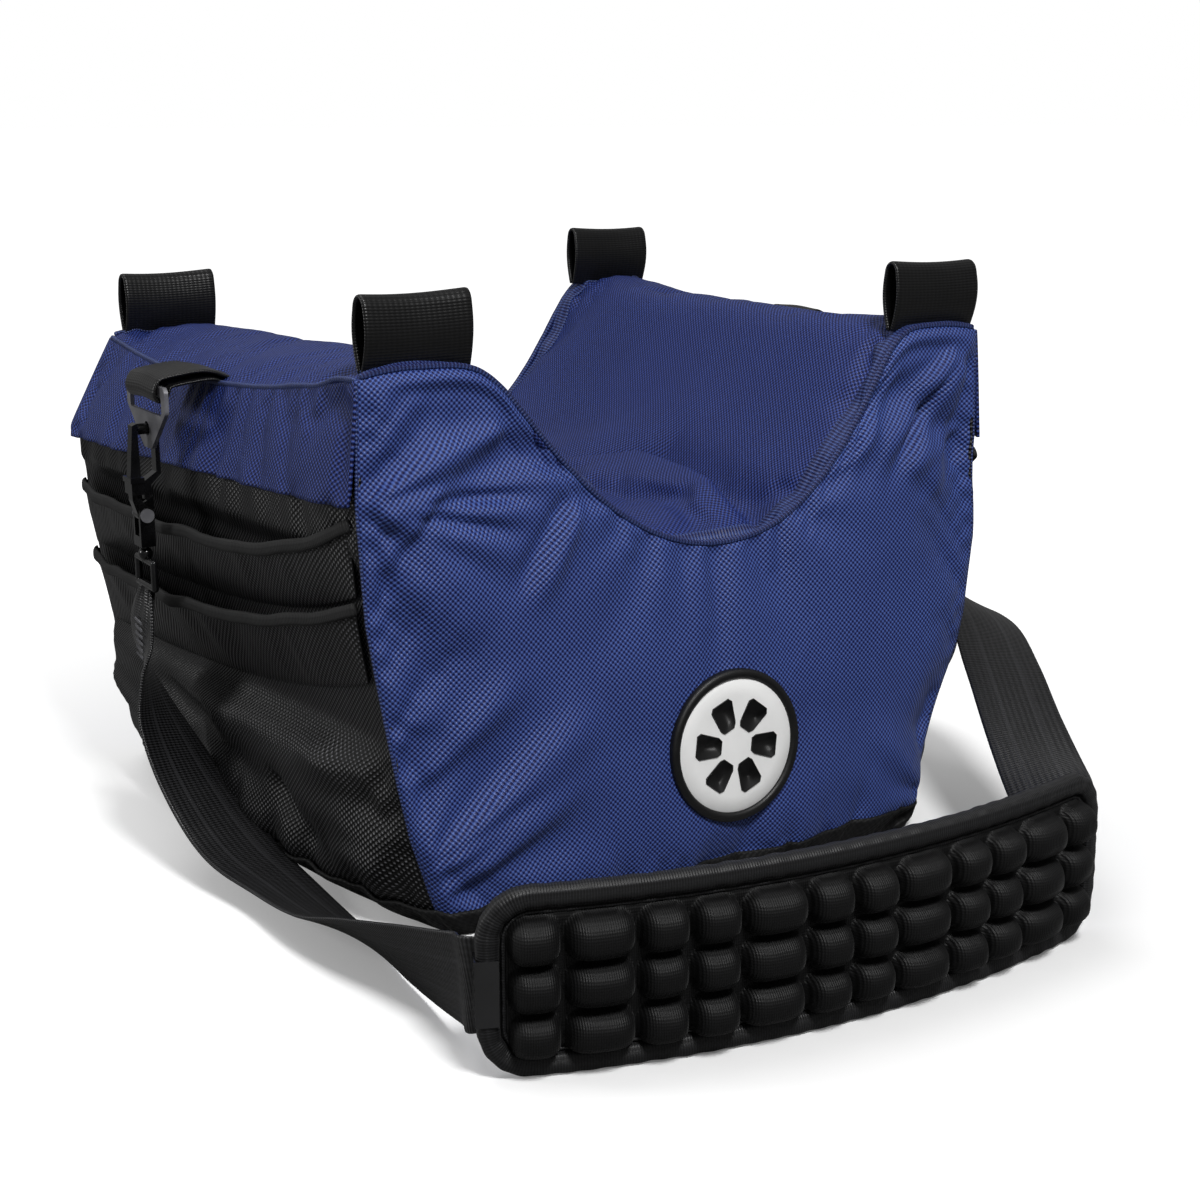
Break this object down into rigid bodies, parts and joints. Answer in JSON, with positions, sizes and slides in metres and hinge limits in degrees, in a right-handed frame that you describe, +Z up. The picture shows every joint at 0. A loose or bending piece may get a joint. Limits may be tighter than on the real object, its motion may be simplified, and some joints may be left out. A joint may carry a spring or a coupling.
{
  "type": "camera saddle bag",
  "caption": "Soft saddle-shaped camera support bag with side pockets, carry loops and a hooked-on padded shoulder strap.",
  "frame": {"origin": "middle of the bag's flat base, on the surface it stands on", "axes": "+Z up; -Y towards the front panel with the badge, where the shoulder pad lies; +X to the right seen from the front"},
  "size_m": [0.431, 0.4831, 0.2798],
  "materials": {
    "blue_nylon": "matte",
    "black_twill": "matte",
    "binding_tape": "matte",
    "base_fabric": "matte",
    "bead_liner": "matte",
    "webbing": "satin",
    "badge_black": "matte",
    "badge_white": "satin",
    "gunmetal": "satin",
    "spring_steel": "satin",
    "grey_thread": "matte",
    "slider_plastic": "satin",
    "pad_knit": "matte",
    "pad_edge_trim": "gloss"
  },
  "bodies": {
    "bag": {"front_panel": "blue_nylon", "rear_panel": "blue_nylon", "saddle_panel": "blue_nylon", "left_shoulder_panel": "blue_nylon", "right_shoulder_panel": "blue_nylon", "left_side_panel": "black_twill", "right_side_panel": "black_twill", "base_panel": "base_fabric", "bead_core": "bead_liner", "left_upper_pocket": "black_twill", "left_lower_pocket": "black_twill", "right_upper_pocket": "black_twill", "right_lower_pocket": "black_twill", "left_upper_binding": "binding_tape", "left_lower_binding": "binding_tape", "right_upper_binding": "binding_tape", "right_lower_binding": "binding_tape", "front_left_loop": "webbing", "rear_left_loop": "webbing", "front_right_loop": "webbing", "rear_right_loop": "webbing", "left_tab": "webbing", "right_tab": "webbing", "badge_rim": "badge_black", "badge_face": "badge_white", "badge_mark": "badge_black"},
    "left_ring": {"left_ring_plate": "gunmetal"},
    "right_ring": {"right_ring_plate": "gunmetal"},
    "strap": {"shoulder_strap": "webbing", "strap_stitches": "grey_thread", "strap_slider": "slider_plastic", "pad_back": "pad_knit", "pad_cells": "pad_knit", "pad_binding": "binding_tape", "pad_tunnel": "pad_knit", "pad_end_guard": "pad_edge_trim", "left_swivel": "gunmetal", "left_strap_link": "gunmetal", "right_swivel": "gunmetal", "right_strap_link": "gunmetal"},
    "left_hook": {"left_hook_frame": "gunmetal", "left_hook_rivet": "gunmetal", "left_gate_spring": "spring_steel"},
    "right_hook": {"right_hook_frame": "gunmetal", "right_hook_rivet": "gunmetal", "right_gate_spring": "spring_steel"},
    "left_gate": {"left_gate": "gunmetal"},
    "right_gate": {"right_gate": "gunmetal"}
  },
  "joints": [
    {"name": "strap_swing", "type": "hinge", "parent": "bag", "child": "strap", "pos_m": [0, 0.01, 0.203], "axis": [-1, 0, 0], "range_deg": [0, 90]},
    {"name": "left_ring_swing", "type": "hinge", "parent": "bag", "child": "left_ring", "pos_m": [-0.198, 0.01, 0.222], "axis": [0, 1, 0], "range_deg": [0, 6]},
    {"name": "left_hook_swivel", "type": "hinge", "parent": "strap", "child": "left_hook", "pos_m": [-0.203, 0.01, 0.15], "axis": [0, 0, 1], "range_deg": [-5, 5]},
    {"name": "left_gate_hinge", "type": "hinge", "parent": "left_hook", "child": "left_gate", "pos_m": [-0.203, 0.01, 0.163], "axis": [0, -1, 0], "range_deg": [0, 25], "stiffness_Nm_per_rad": 0.02},
    {"name": "right_ring_swing", "type": "hinge", "parent": "bag", "child": "right_ring", "pos_m": [0.198, 0.01, 0.222], "axis": [0, -1, 0], "range_deg": [0, 6]},
    {"name": "right_hook_swivel", "type": "hinge", "parent": "strap", "child": "right_hook", "pos_m": [0.203, 0.01, 0.15], "axis": [0, 0, 1], "range_deg": [-5, 5]},
    {"name": "right_gate_hinge", "type": "hinge", "parent": "right_hook", "child": "right_gate", "pos_m": [0.203, 0.01, 0.163], "axis": [0, 1, 0], "range_deg": [0, 25], "stiffness_Nm_per_rad": 0.02}
  ]
}
